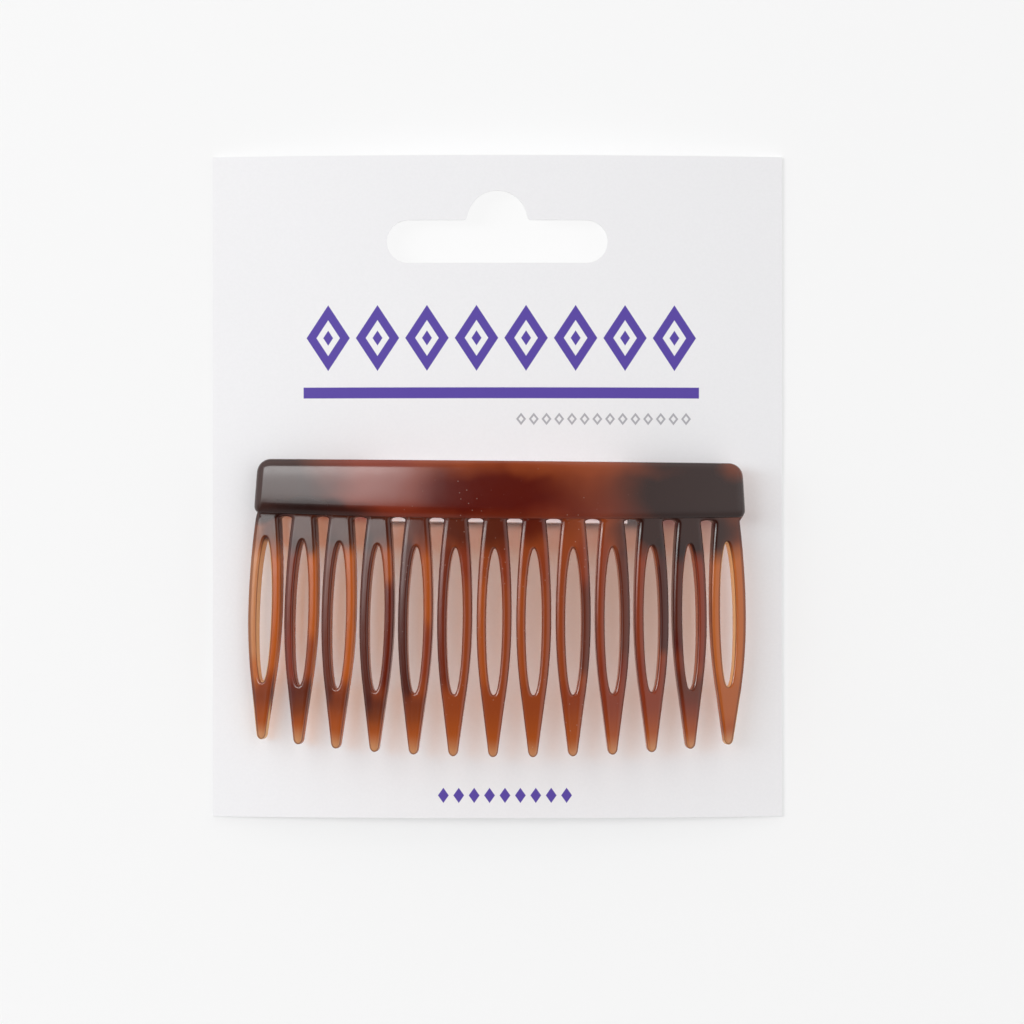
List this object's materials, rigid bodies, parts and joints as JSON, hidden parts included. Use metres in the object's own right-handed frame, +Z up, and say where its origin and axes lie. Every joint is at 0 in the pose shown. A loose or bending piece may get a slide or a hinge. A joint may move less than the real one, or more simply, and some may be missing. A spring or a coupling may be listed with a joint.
{
  "type": "side comb on a display card",
  "caption": "Bowed tortoiseshell plastic side comb with slotted, tapered teeth, held by a pad on a plain white display card with a hanging slot.",
  "frame": {"origin": "bottom centre of the bounding box, on the surface under the middle of the card", "axes": "+X across the card to its right, +Y up the card toward its hanging slot, +Z up from the surface toward the comb"},
  "size_m": [0.0856, 0.099, 0.0125],
  "materials": {
    "tortoiseshell": "polished, translucent, dark patches in amber",
    "white_card": "smooth uncoated white card",
    "white_foam": "matte white foam"
  },
  "bodies": {
    "root": {"comb": "tortoiseshell", "card": "white_card", "pad": "white_foam"}
  },
  "joints": []
}
